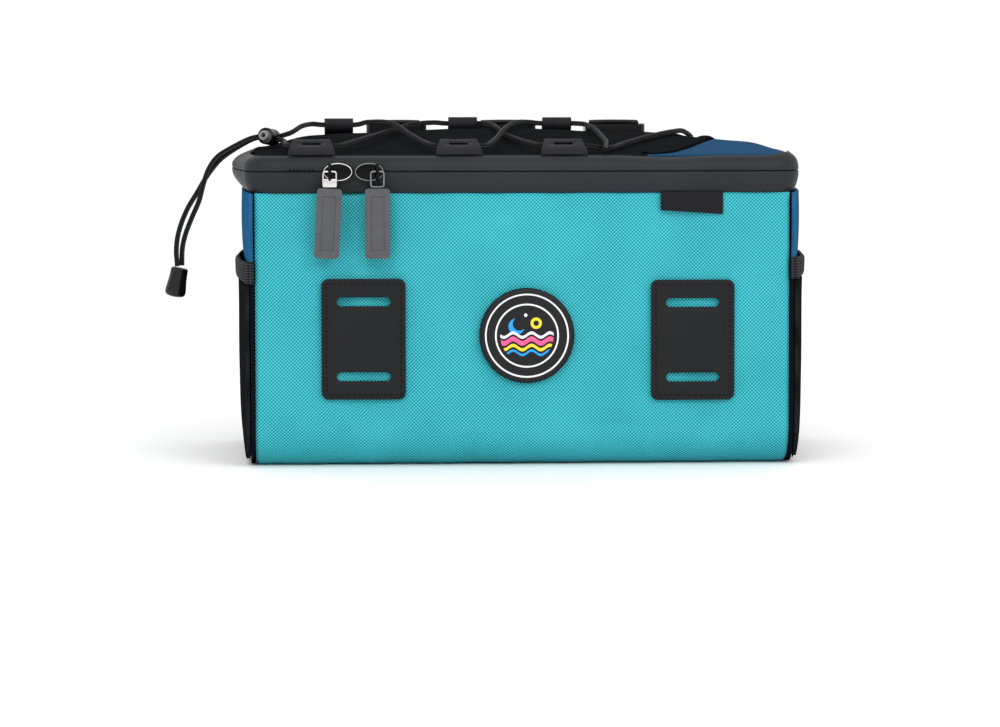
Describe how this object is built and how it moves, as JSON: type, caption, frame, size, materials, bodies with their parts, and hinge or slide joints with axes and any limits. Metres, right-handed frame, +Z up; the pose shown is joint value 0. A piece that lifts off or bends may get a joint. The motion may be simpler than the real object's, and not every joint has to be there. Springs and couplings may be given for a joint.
{
  "type": "bicycle handlebar bag",
  "caption": "Boxy cloth handlebar bag with a zipped, cord-laced lid, open side pockets, slotted front patches and buckled loops for the bar.",
  "frame": {"origin": "on the surface under the bag, below the middle of its box without the hanging cord tail", "axes": "+Z up; the front looks along -Y; +X is to the right of someone facing the front"},
  "size_m": [0.3245, 0.1808, 0.1714],
  "materials": {
    "teal_cloth": "woven polyester, matt",
    "blue_cloth": "fine ribbed cloth, matt",
    "black_cloth": "woven, matt",
    "coated_black": "coated, satin",
    "webbing": "woven, matt",
    "rubber": "matt",
    "patch_rubber": "matt, fine grain",
    "plastic": "satin",
    "ring_grey": "satin",
    "black_metal": "glossy",
    "steel": "polished"
  },
  "bodies": {
    "bag": {"main_panel": "teal_cloth", "back_panel": "black_cloth", "side_panel_left": "blue_cloth", "side_panel_right": "blue_cloth", "side_pocket_left": "black_cloth", "side_pocket_right": "black_cloth", "pocket_hem_left": "black_cloth", "pocket_hem_right": "black_cloth", "zip_band_lower": "coated_black", "zip_band_upper": "coated_black", "lid_panel": "black_cloth", "lid_panel_blue": "blue_cloth", "patch_left": "patch_rubber", "patch_right": "patch_rubber", "round_badge": "patch_rubber", "woven_label": "webbing", "zip_slider_left": "black_metal", "zip_slider_right": "black_metal", "front_tab_left": "coated_black", "front_tab_middle": "coated_black", "front_tab_right": "coated_black", "rear_tab_left": "coated_black", "rear_tab_middle": "coated_black", "rear_tab_right": "coated_black", "lace_strand_left": "webbing", "lace_strand_right": "webbing", "tail_strand_outer": "webbing", "tail_strand_inner": "webbing", "cord_lock_body": "plastic", "cord_end": "plastic", "strap_loop_left": "webbing", "strap_buckle_left": "plastic", "strap_tail_left": "webbing", "strap_loop_middle": "webbing", "strap_buckle_middle": "plastic", "strap_tail_middle": "webbing", "strap_loop_right": "webbing", "strap_buckle_right": "plastic", "strap_tail_right": "webbing"},
    "pull_left": {"pull_link_left": "steel", "pull_tab_left": "rubber"},
    "pull_right": {"pull_link_right": "black_metal", "pull_tab_right": "rubber"},
    "lock_button": {"cord_lock_button": "ring_grey"}
  },
  "joints": [
    {"name": "pull_left_swing", "type": "hinge", "parent": "bag", "child": "pull_left", "pos_m": [-0.09553, -0.08786, 0.1476], "axis": [-1, 0, 0], "range_deg": [0, 120]},
    {"name": "pull_right_swing", "type": "hinge", "parent": "bag", "child": "pull_right", "pos_m": [-0.07203, -0.08808, 0.1476], "axis": [-1, 0, 0], "range_deg": [0, 120]},
    {"name": "lock_press", "type": "slide", "parent": "bag", "child": "lock_button", "axis": [0.4031, 0.9071, -0.121], "range_m": [0, 0.0025], "stiffness_N_per_m": 400, "springref_m": -0.002}
  ]
}
